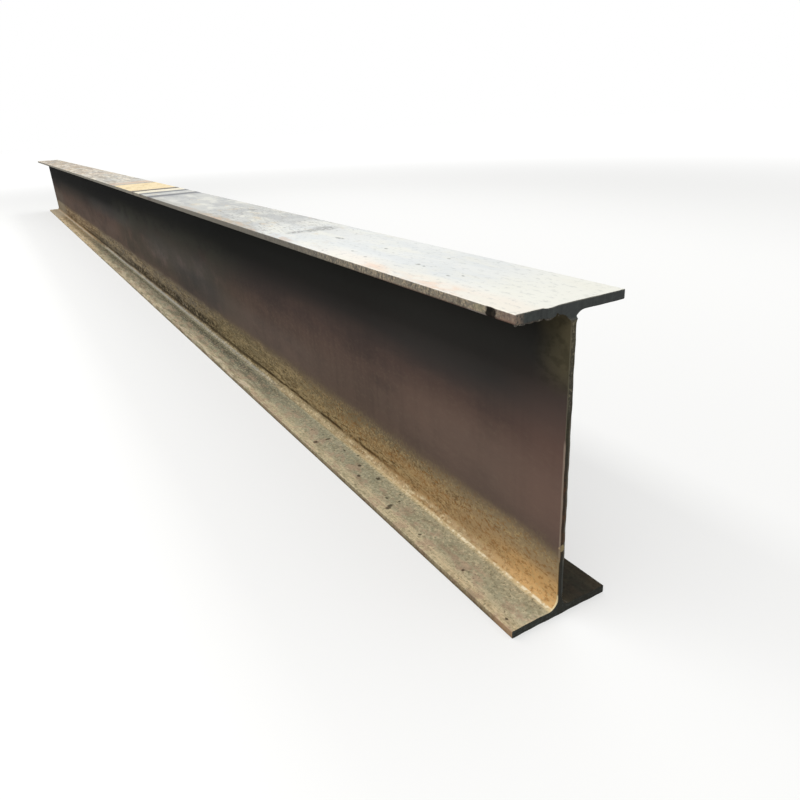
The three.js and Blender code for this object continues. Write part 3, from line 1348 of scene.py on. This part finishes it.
# Spans along each axis, by their low and high borders and how soft and ragged these are
along, across, up, out = (partial(Span, axis) for axis in Axis)
gritty = partial(Mottle, detail=5, grit=0.7)  # with finely broken borders

ON_FOOT = up(high=23, soft=3)
ON_FOOT_EDGE = out(149.3, soft=0.6)
ON_FILLET = (out(9, 29, 8, 3), up(high=44, soft=7))
NEAR_SIDE = across(high=7.5, soft=1)
FAR_SIDE = across(7.5, soft=1)
RUST_BAND = (up(high=165, soft=68, ragged=20, grain=(170, 60, 80)), out(high=29, soft=6))
LOW_ON_WEB = (up(high=124, soft=64, ragged=10), out(high=29, soft=6))
FOOT_PITS = Blots(
    marks(22, (5352, -108, 7, 10, 9), (5360, -119, 8, 8, 8), (5180, -55, 9, 8, 9), (5122, -100, 8, 6, 8),
          (5059, -64, 8, 6, 8), (4791, -114, 9, 8, 9), (4797, -64, 6, 11, 8), (5539, -115, 5, 5, 6),
          (5746, -109, 5, 5, 6), (5305, -94, 6, 4, 6), (5347, -71, 5, 4, 6), (5958, -133, 4, 4, 6),
          (4920, -55, 8, 4, 6))
)

# Mill scale, whose tone goes from the pale lower flange up to dark scale and painted shade below the upper
# one
SCALE_HEIGHTS = ((0.0, "#aeab93"), (24.0, "#aeab93"), (40.0, "#9a8d70"), (60.0, "#64564f"),
                 (200.0, "#67584f"), (300.0, "#6a5a51"), (380.0, "#67564e"), (450.0, "#554844"),
                 (550.0, "#3d3a38"), (650.0, "#393937"), (740.0, "#2d2d2a"), (792.0, "#32302c"))

# Clouds on the web, bands that ran down it, and painted shade on the upper web below the upper flange
WEB_COATS = (
    coat("#7a6256", 0.35, Mottle((700, 700, 190), 0.53, 0.3, 3), up(200, 500, 140)),
    coat("#433c3a", 0.35, Mottle((420, 420, 150), 0.56, 0.2, 4), up(190, 600, 90)),
    coat("#3b3634", 0.15, Mottle((48, 48, 700), 0.55, 0.3, 5, 3), up(180, 640, 160)),
    coat("#80705f", 0.16, gritty((26, 26, 14), 0.56, 0.16, 6), up(180, 460, 160)),
    # painted shade: the upper web darkened below the upper flange, most of all away from the head end
    coat("#1b1c1b", 0.8, up(470, soft=440), along(high=4200, soft=1900)),
    coat("#2b2822", 0.5, up(340, soft=300), along(high=-900, soft=2600)),
    coat("#050504", 0.88, up(500, soft=260), along(high=1500, soft=3000)),
    coat("#5a5855", 0.25, up(500, 720, 120), along(5250, soft=500)),
    coat("#8a8a8a", 0.2, up(280, 440, 120), along(1500, 3300, 700)),
    coat("#42423a", 0.6, up(190, 590, 140), along(200, 3700, 900), Mottle((330, 330, 160), 0.38, 0.36, 7)),
    coat("#8d786c", 0.34, along(5330, soft=600), up(180, 400, 130)),
    coat("#7d726b", 0.2, along(3000, 4600, 600), up(180, 320, 90)),
    coat("#2c3238", 0.28, along(2350, 3350, 300), up(150, 340, 80)),
    coat("#6f7470", 0.12, along(-1500, 900, 900), up(390, 510, 90)),
    coat("#71685a", 0.08, along(-4600, -2200, 600), up(380, 520, 100)),
    coat("#7d786c", 0.25, along(high=-4750, soft=600), up(150, 360, 120)),
    coat("#8a6b60", 0.28, along(5850, soft=280), up(200, 600, 160)),
    coat("#786f55", 0.72, along(5935, soft=110, ragged=20), up(610, 775, 90)),
    coat("#26251e", 0.3, along(5900, soft=90), up(600, 775, 50), Mottle((30, 30, 22), 0.53, 0.2, 76)),
    coat("#a08f80", 0.85, NEAR_SIDE, along(5993.6, soft=1.4), up(158, 474, 24, 8)),
    coat("#7c7866", 0.7, NEAR_SIDE, along(5996.8, soft=1.2), up(480, 745, 24, 8)),
)

# Rust that washed down to the foot of the web and over the fillet
RUST_COATS = (
    coat("#877c62", 0.95, *RUST_BAND, roughness=0.85),
    coat("#8c7d5e", 0.5, up(120, 192, 60, 20, (50, 40, 40)), Mottle((11, 11, 17), 0.5, 0.2, 54, 5, 0.75),
         out(high=29, soft=6), along(3400, soft=2200)),
    coat("#7b7671", 0.62, *RUST_BAND, along(-1300, 3100, 900)),
    coat("#967967", 0.5, *RUST_BAND, along(high=-1500, soft=1500)),
    coat("#9a8b69", 0.6, up(40, 110, 50, 8), along(2900, soft=900)),
    coat("#bd9562", 0.75, along(5000, soft=900, ragged=120), *LOW_ON_WEB),
    coat("#b79f7a", 0.65, along(5450, soft=700), *RUST_BAND),
    coat("#eebd7c", 0.7, along(5790, soft=260), *LOW_ON_WEB, up(high=96, soft=44)),
    coat("#b8a47c", 0.5, along(4400, 5400, 300), up(56, 94, 24)),
    *over(
        RUST_BAND,
        coat("#5e4830", 0.68, Mottle((10, 9, 8), 0.54, 0.12, 8, 5, 0.75),
             Mottle((90, 70, 44), 0.45, 0.16, 36), along(high=5800, soft=500)),
        coat("#d0b684", 0.66, Mottle((10, 9, 8), 0.55, 0.12, 9, 5, 0.75),
             Mottle((170, 90, 50), 0.44, 0.2, 37), lift=0.2),
        coat("#93622f", 0.55, gritty((16, 16, 9), 0.56, 0.1, 19), along(4500, soft=1200)),
        coat("#4e3f2b", 0.5, gritty((70, 60, 13), 0.54, 0.12, 63), along(high=4600, soft=800)),
        coat("#c8b287", 0.42, gritty((90, 60, 15), 0.56, 0.12, 64), along(high=4600, soft=800)),
        coat("#473b2d", 0.5, gritty((260, 60, 26), 0.54, 0.1, 74), along(high=1400, soft=900)),
        coat("#ccb998", 0.42, gritty((280, 60, 28), 0.55, 0.1, 75), along(high=1400, soft=900)),
    ),
    # dirt and painted shade: a dark line where the fillet meets the web
    coat("#3d3020", 0.85, up(46, 57, 6, 6, (60, 40, 40)), Mottle((110, 90, 40), 0.42, 0.2, 11),
         along(3800, 5150, 400)),
    coat("#342a1e", 0.72, up(37, 55, 8, 4, (60, 40, 40)), along(-2400, 3950, 500)),
    coat("#5c4a32", 0.6, up(30, 58, 12, 4), along(high=-1700, soft=900)),
    coat("#4f3f2a", 0.7, up(54, 92, 26), gritty((40, 40, 9), 0.55, 0.1, 38), along(3000, 5500, 900)),
    coat("#3a3226", 0.92, Mottle((26, 26, 16), 0.49, 0.07, 12), up(46, 96, 22), along(500, 3200, 500)),
    coat("#4b4841", 0.48, up(46, 96, 40), along(-2200, 900, 700)),
    coat("#474639", 0.18, up(56, 170, 30), along(1500, 3900, 500)),
    coat("#3f3523", 0.8, NEAR_SIDE, along(5996.6, soft=1.2), up(58, 158, 12)),
)

# The lower flange, from its fillet to its toe, with a painted highlight along the fillet
FOOT_COATS = (
    coat("#50524c", 0.92, ON_FOOT, out(35, 82, 36, 10), along(high=4250, soft=1200)),
    coat("#9c9a83", 0.3, ON_FOOT, out(40, 98, 34, 8), along(4700, soft=900)),
    # painted highlight along the fillet: a pale line
    coat("#b5b4aa", 0.6, out(15, 27, 6, 2), up(high=38, soft=6), along(-900, 4100, 400)),
    coat("#dfcba6", 0.42, out(9, 27, 8, 3, (50, 20, 20)), up(high=44, soft=7), along(4050, 5650, 500),
         gritty((90, 14, 14), 0.45, 0.18, 61)),
    coat("#77663f", 0.5, *ON_FILLET, Mottle((24, 12, 12), 0.54, 0.1, 67, 5, 0.75), along(2600, 5700, 700)),
    # painted highlight: broken glints on the fillet
    coat("#f0e0b9", 0.55, *ON_FILLET, Mottle((22, 12, 12), 0.57, 0.08, 68, 5, 0.75),
         along(2600, 5700, 700)),
    *over(
        (ON_FOOT,),
        coat("#474638", 0.52, out(36, 58, 10, 3), along(-900, 3500, 500)),
        coat("#57503f", 0.22, out(38, 126, 30), along(-1700, 2600, 900)),
        coat("#dacba6", 0.78, out(112, soft=40, ragged=10)),
        coat("#94907e", 0.17, out(92, soft=20), along(-1500, 3900, 700)),
        coat("#b0a68a", 0.12, out(126, soft=12), along(1300, 3000, 500)),
        coat("#d4c09a", 0.4, along(5300, soft=900)),
        coat("#d5c9a8", 0.34, out(82, 122, 20, 6), along(4380, soft=260)),
        coat("#d6ccb4", 0.3, out(54, soft=18), along(550, 2350, 350)),
        coat("#8b907e", 0.4, out(110, soft=18), along(2250, 3350, 300)),
        coat("#c19d70", 0.3, out(130, soft=12), along(5700, soft=200)),
        coat("#a5a58c", 0.35, out(40, 112, 22), along(5000, soft=600)),
    ),
    coat("#b8986c", 0.6, up(high=32, soft=8), along(high=-1700, soft=2200)),
    coat("#cf9f6a", 0.4, up(high=32, soft=8), along(high=-4500, soft=1600, ragged=300)),
    # painted highlight: a pale line along the fillet at the far end
    coat("#dad4c6", 0.45, out(20, 38, 10), up(high=40, soft=8), along(high=-1900, soft=800)),
    coat("#eed5a8", 0.83, ON_FOOT, out(97, soft=20, ragged=14), along(high=-900, soft=1600)),
    # painted highlight: a pale band and broken glints along the fillet towards the head end
    coat("#e6d2a4", 0.62, out(22, 35, 6), up(high=36, soft=5), along(4900, soft=1500)),
    coat("#fff4d6", 0.9, out(23, 30, 4, 2), up(high=36, soft=5), Mottle((22, 22, 22), 0.5, 0.12, 13),
         along(5350, soft=600), roughness=0.4),
    *over(
        (ON_FOOT,),
        coat("#7b7055", 0.5, gritty((11, 10, 9), 0.54, 0.1, 14)),
        coat("#e9dab4", 0.55, gritty((12, 10, 9), 0.55, 0.1, 15), lift=0.1),
        coat("#f0dcb4", 0.55, Mottle((110, 7, 20), 0.56, 0.1, 42, 3), out(112, 146, 14), lift=0.1),
        coat("#86866f", 0.25, Mottle((70, 70, 70), 0.53, 0.14, 31, 3), out(40, 120, 30)),
        coat("#bd9f88", 0.6, gritty((60, 34, 34), 0.54, 0.1, 39), out(60, soft=50)),
        coat("#7d755c", 0.36, gritty((90, 40, 40), 0.58, 0.12, 62), along(4400, soft=400)),
        coat("#5b5746", 0.5, gritty((150, 26, 30), 0.53, 0.12, 65), along(high=4300, soft=600)),
        coat("#efe0c4", 0.64, gritty((170, 24, 30), 0.56, 0.12, 66), along(high=4300, soft=600),
             out(112, soft=40, ragged=10)),
        coat("#3f3a2f", 0.7, Specks((10, 9, 9), 0.32, 0.5, 16), Mottle((90, 46, 50), 0.55, 0.08, 17),
             lift=-0.2),
        coat("#4f4838", 0.7, Mottle((5, 9, 9), 0.65, 0.06, 18, 3), lift=-0.15),
        coat("#3b3829", 0.8, Specks((30, 17, 18), 0.3, 0.5, 69), Mottle((160, 80, 80), 0.49, 0.1, 70),
             along(4200, 5700, 300)),
        coat("#3a2f24", 0.85, FOOT_PITS),
    ),
    *over(
        (ON_FOOT_EDGE,),
        coat("#6f5f49", 0.35, up(2, 20, 3), along(3400, soft=2400)),
        coat("#5c5038", 0.5, up(high=10, soft=6), along(3400, soft=2400)),
        coat("#5b4a38", 0.4, Mottle((12, 90, 14), 0.55, 0.14, 32, 5)),
        coat("#c79f7c", 0.6, along(5930, soft=50)),
    ),
)

# Painted shade on the far side's lower web and lower flange, the far end, and the head's cut arris
SHADE_AND_END_COATS = (
    # painted shade: the far side's lower web and lower flange made near-black
    coat("#1f201f", 0.94, FAR_SIDE, up(high=184, soft=30, ragged=14)),
    coat("#54493a", 0.25, FAR_SIDE, ON_FOOT, Mottle((60, 40, 40), 0.57, 0.14, 33, 5)),
    # the far end, where less rust washed down
    coat("#a09683", 0.62, NEAR_SIDE, along(high=-4750, soft=700), up(24, 180, 40)),
    coat("#d8ccb4", 0.45, ON_FOOT, NEAR_SIDE, along(high=-4700, soft=700)),
    # the bright arris where the head's cut rounds the fillet
    coat("#f6e4b6", 0.85, NEAR_SIDE, along(5994.5, soft=1.5), up(24, 60, 8)),
)

# The web, the upper fillets and the upper flange's underside
WEB_SCALE = Finish(
    "mill_scale_rusting", SCALE_HEIGHTS, WEB_COATS + RUST_COATS + SHADE_AND_END_COATS,
    roughness=0.8, metallic=0.0, specular=0.02, grain=0.12,
)

# The lower flange and its fillets
FOOT_SCALE = replace(WEB_SCALE, name="mill_scale_washed", coats=RUST_COATS + FOOT_COATS + SHADE_AND_END_COATS)

ON_TOP = up(790.8, soft=1.4)
ON_EDGE = up(high=790.4, soft=1.4)
SCUFFS = Blots(
    marks(792, (4682, 6, 28, 32, 30), (4672, -52, 22, 32, 30), (4672, 62, 48, 38, 30), (4916, 3, 26, 8, 20),
          (5199, 19, 9, 4, 10), (5460, -34, 9, 6, 10), (5492, -35, 6, 4, 10), (5458, 66, 8, 4, 10),
          (5629, -53, 7, 4, 10), (5655, -28, 6, 4, 10), (5264, -87, 7, 4, 10), (5155, -71, 9, 4, 10),
          (3868, 68, 30, 18, 20)),
    soft=1.0, grain=9,
)
EDGE_MARKS = Blots(
    (((2137, -150, 784), (40, 30, 10)), ((2391, -150, 785), (36, 30, 7)),
     ((2648, -150, 782), (46, 30, 11))),
    grain=20,
)
# painted shade in the clamp's bite on the near rolled edge
NOTCH_SHADE = Blots(
    (((5917, -150, 779), (17, 60, 19)), ((5907, -150, 777), (8, 60, 7))),
    soft=0.4, ragged=0.45, grain=5,
)

# The upper flange's outer faces, walked on and scratched; their pale top is partly dust and partly painted
# sheen
DUST_AND_SHEEN_SCALE = Finish(
    "mill_scale_dusty",
    ((770.0, "#5c564d"), (788.0, "#5c564b"), (792.0, "#b6b7b2")),
    (
        *over(
            (ON_TOP,),
            # dust and painted sheen: the top near-white towards the head end
            coat("#dddfdc", 1.0, along(4650, soft=1300, ragged=60), roughness=0.4),
            coat("#b7b1a3", 0.9, along(high=1320, soft=70, ragged=20)),
            coat("#9d8864", 0.9, along(high=-900, soft=3000, ragged=300, grain=(900, 200, 200))),
            coat("#c4a585", 0.62, along(high=-200, soft=1500), Mottle((420, 110, 110), 0.5, 0.12, 26, 5)),
            coat("#eae9dd", 0.8, along(5760, soft=300, ragged=60)),
            coat("#ebe2d4", 0.75, across(high=-84, soft=56, ragged=16), along(5080, soft=500)),
            coat("#e4c6ac", 0.75, across(high=-108, soft=34, ragged=16), along(5340, 5780, 120),
                 Mottle((90, 40, 40), 0.48, 0.16, 43)),
            coat("#8f9294", 0.5, Mottle((300, 110, 110), 0.53, 0.12, 21, 5), along(high=4600, soft=700)),
            coat("#cdd2d3", 0.5, Mottle((300, 90, 90), 0.51, 0.16, 21, 5), along(4500, 5750, 400)),
            coat("#e6e4d6", 0.42, Mottle((240, 80, 80), 0.54, 0.16, 22, 5)),
            coat("#c4b391", 0.5, Mottle((130, 60, 60), 0.62, 0.1, 34, 5), along(high=4900, soft=600)),
            coat("#8e908e", 0.25, Mottle((900, 7, 60), 0.6, 0.1, 23, 3), along(high=4600, soft=700)),
            coat("#7d6d55", 0.64, gritty((300, 44, 60), 0.53, 0.08, 72), along(high=1300, soft=200)),
            coat("#f4e9d2", 0.6, gritty((330, 50, 60), 0.55, 0.08, 73), along(high=1300, soft=200)),
            # the rust patch and the marks of what lay across the beam
            coat("#ebd7ab", 0.95, along(1420, 2085, 60, 30, (90, 60, 60)), roughness=0.7),
            coat("#c0a26c", 0.6, along(1420, 2090, 60, 30), Mottle((60, 40, 40), 0.57, 0.1, 24),
                 roughness=0.75),
            coat("#bf9f80", 0.7, along(1150, 1350, 60, 30)),
            coat("#6b5d49", 0.6, along(1372, 1425, 24, 14)),
            coat("#f0e4c2", 0.7, along(2180, 2345, 40, 14)),
            coat("#7d8187", 0.5, along(2640, 2780, 130, 20)),
            coat("#9c9a90", 0.6, across(high=-116, soft=34, ragged=12), along(2700, 4500, 400)),
            coat("#45321f", 0.9, along(2093, 2181, 26, 16), roughness=0.7),
            coat("#2b303b", 0.9, along(2345, 2437, 34, 16)),
            coat("#2f343d", 0.9, along(2592, 2704, 44, 20)),
            coat("#ad936e", 0.6, across(high=-116, soft=26, ragged=14), along(3650, 4350, 300),
                 Mottle((120, 50, 50), 0.47, 0.14, 40)),
            coat("#b99a7c", 0.6, across(high=-122, soft=20, ragged=14),
                 Mottle((150, 60, 60), 0.52, 0.1, 25), along(3300, 4850, 250)),
            coat("#55544e", 0.75, SCUFFS, Mottle((14, 10, 10), 0.45, 0.2, 27)),
            coat("#77746c", 0.7, along(3700, 4640, 200), Mottle((34, 7, 30), 0.58, 0.06, 28, 5)),
            coat("#3c3933", 0.8, Specks((34, 22, 22), 0.24, 0.4, 29), Mottle((240, 90, 90), 0.5, 0.1, 35),
                 along(high=5300, soft=200), lift=-0.1),
            coat("#4a463e", 0.5, Mottle((12, 6, 6), 0.67, 0.05, 30, 3), along(high=5000, soft=600)),
            coat("#8d918f", 0.3, gritty((26, 14, 14), 0.59, 0.12, 45), along(4700, soft=300)),
        ),
        *over(
            (ON_EDGE,),
            # the flange's rolled edges
            coat("#665f54", 1.0, roughness=0.75, metallic=0.0),
            coat("#8f8676", 0.75, along(5250, soft=500)),
            coat("#777468", 0.3, along(2900, 5250, 400)),
            coat("#868376", 0.32, along(high=2500, soft=700)),
            coat("#938a7a", 0.4, Mottle((160, 60, 60), 0.52, 0.16, 41, 4), along(high=2800, soft=900)),
            coat("#c6b394", 0.75, Mottle((7, 60, 6), 0.55, 0.12, 32, 5), along(5100, soft=900)),
            coat("#3b342a", 0.66, Mottle((7, 60, 14), 0.55, 0.1, 31, 5), along(4300, soft=1600),
                 roughness=0.7),
            coat("#3e2b24", 0.62, EDGE_MARKS),
            coat("#8d7466", 0.55, along(5935, soft=60)),
            coat("#4d3b33", 0.6, Mottle((8, 60, 8), 0.54, 0.12, 77), along(5925, soft=20)),
            coat("#a9826a", 0.3, along(5500, soft=300), up(high=777, soft=5),
                 Mottle((60, 60, 30), 0.53, 0.12, 44)),
        ),
        coat("#4e2d22", 0.7, up(high=773.5, soft=2.5), along(5300, soft=500)),
        coat("#a39b96", 0.75, up(high=773, soft=2), along(5838, 5902, 14)),
        coat("#a0997a", 0.5, ON_EDGE, Blots((((5878, -150, 783), (20, 30, 8)),), grain=5)),
        # painted shade: near-black in the bite, metallic so that it reflects nothing
        coat("#0a0807", 0.92, ON_EDGE, NOTCH_SHADE, roughness=0.9, metallic=1.0),
    ),
    roughness=0.45, metallic=0.3, specular=0.5, grain=0.08,
)

IN_WEB = up(40, 752, 3)

# The torch's cuts: a skin of slate-grey oxide over drag lines
TORCH_OXIDE = Finish(
    "torch_cut_oxide",
    ((0.0, "#383a34"), (60.0, "#34332d"), (160.0, "#35342c"), (200.0, "#4a3c2b"), (260.0, "#443325"),
     (370.0, "#3a2f23"), (430.0, "#3d3a2f"), (520.0, "#44402f"), (560.0, "#58544a"), (640.0, "#5b584c"),
     (700.0, "#6a6653"), (750.0, "#68614f"), (756.0, "#505352"), (792.0, "#505352")),
    (
        coat("#2b2b29", 0.45, IN_WEB, Mottle((60, 50, 3.2), 0.5, 0.2, 41, 3), lift=-0.2),
        coat("#2e3032", 0.25, out(7.5), Mottle((60, 3.2, 50), 0.5, 0.25, 42, 3), lift=-0.2),
        coat("#5d6360", 0.45, out(7.5), Mottle((14, 14, 9), 0.54, 0.2, 48, 4)),
        coat("#7d796d", 0.9, up(150, 530, 30), across(2.2, soft=1.6, ragged=0.8, grain=(20, 20, 20))),
        coat("#7b705a", 0.45, up(560, 752, 30),
             across(high=-4.6, soft=1.4, ragged=0.8, grain=(20, 20, 20))),
        coat("#5c5f5c", 0.6, up(60, 170, 20), across(2.4, soft=1.6)),
        coat("#b3a27a", 0.95, Blots((((5998, -2, 197), (12, 7.5, 9)),), 0.4, 0.5, 5), lift=0.6),
        coat("#a39a80", 0.5, IN_WEB, up(560, soft=60), Mottle((7, 7, 7), 0.58, 0.1, 44, 5)),
        coat("#23221f", 0.6, IN_WEB, up(560, soft=60), Mottle((8, 8, 11), 0.6, 0.1, 46, 5)),
        coat("#6b4a34", 0.5, up(200, 400, 30), Mottle((20, 20, 26), 0.54, 0.14, 45, 5), roughness=0.75),
        # painted shade: the lower flange's cut darkens towards its far side
        coat("#221f16", 0.55, up(high=40, soft=6), across(20, soft=160)),
        coat("#a3907f", 0.85, up(760), across(high=-133, soft=16, ragged=8, grain=(9, 9, 9)),
             Mottle((5, 5, 5), 0.44, 0.16, 49, 4)),
        coat("#a9a79b", 0.6, up(789.5, soft=1.5), Mottle((40, 30, 40), 0.45, 0.2, 47)),
    ),
    roughness=0.65, metallic=0.0, specular=0.12, grain=0.15, grain_size=(1.5, 1.5, 1.5),
)

FROZEN_SLAG = Finish(
    "frozen_slag",
    ((0.0, "#b89f7a"), (400.0, "#b09872"), (410.0, "#4a4540"), (758.0, "#8f8472"), (768.0, "#46423d"),
     (792.0, "#46423d")),
    (
        coat("#6d5c4b", 0.4, Mottle((5, 5, 5), 0.56, 0.1, 51), roughness=0.75),
        coat("#1f1e1d", 0.5, Mottle((3, 3, 3), 0.56, 0.1, 52), lift=-0.1),
        # painted highlights: light flecks on the drops
        coat("#bdb8a6", 0.7, Mottle((4, 4, 4), 0.6, 0.06, 53)),
    ),
    roughness=0.5, metallic=0.1, specular=0.4, grain=0.2, grain_size=(1.0, 1.0, 1.0),
)


def place(piece: bpy.types.Object) -> None:
    """Lets a piece ride on the beam's body, and reports it.

    Args:
        piece: A finished piece.
    """
    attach(piece, BODY)
    piece.data.calc_loop_triangles()
    triangles, materials = len(piece.data.loop_triangles), len(piece.data.materials)
    LOG.info("%s: %d triangles, %d materials", piece.name, triangles, materials)


def main() -> None:
    """Builds the beam, its finishes and the studio."""
    logging.basicConfig(level=logging.INFO, format="%(message)s", stream=sys.stdout)
    bpy.context.scene.view_settings.view_transform = "Standard"
    # the CAD box, whose ends lie a few micrometres short of the true size
    (low_x, low_y, low_z), (high_x, high_y, high_z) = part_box(CAD_NODE)
    section = Section(depth=round(high_z - low_z, 4), width=round(high_y - low_y, 4))
    half_length = round(high_x - low_x, 3) / 2
    head = TorchCut(Hands(upper=0.4, web=2.2, lower=5.3), flange_setback=6 * MM)
    tail = TorchCut(Hands(upper=4.1, web=1.3, lower=2.6))

    rolled = RolledBeam(section, half_length, head, tail)
    finishes = zip(Face, (WEB_SCALE, FOOT_SCALE, DUST_AND_SHEEN_SCALE, TORCH_OXIDE))
    beam = rolled.build({face: finish.material() for face, finish in finishes})
    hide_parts(CAD_NODE)
    place(beam)
    slag = HeadSlag(section, half_length, head, last_y=rolled.gouge_y - SLAG_GAP)
    place(slag.build(FROZEN_SLAG.material()))
    Studio().build()

    boxes = {"cad": CAD_BOX, "shown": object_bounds()}
    boxes = {name: [list(corner) for corner in box] for name, box in boxes.items()}
    LOG.info("boxes %s", boxes)


if __name__ == "__main__":
    main()
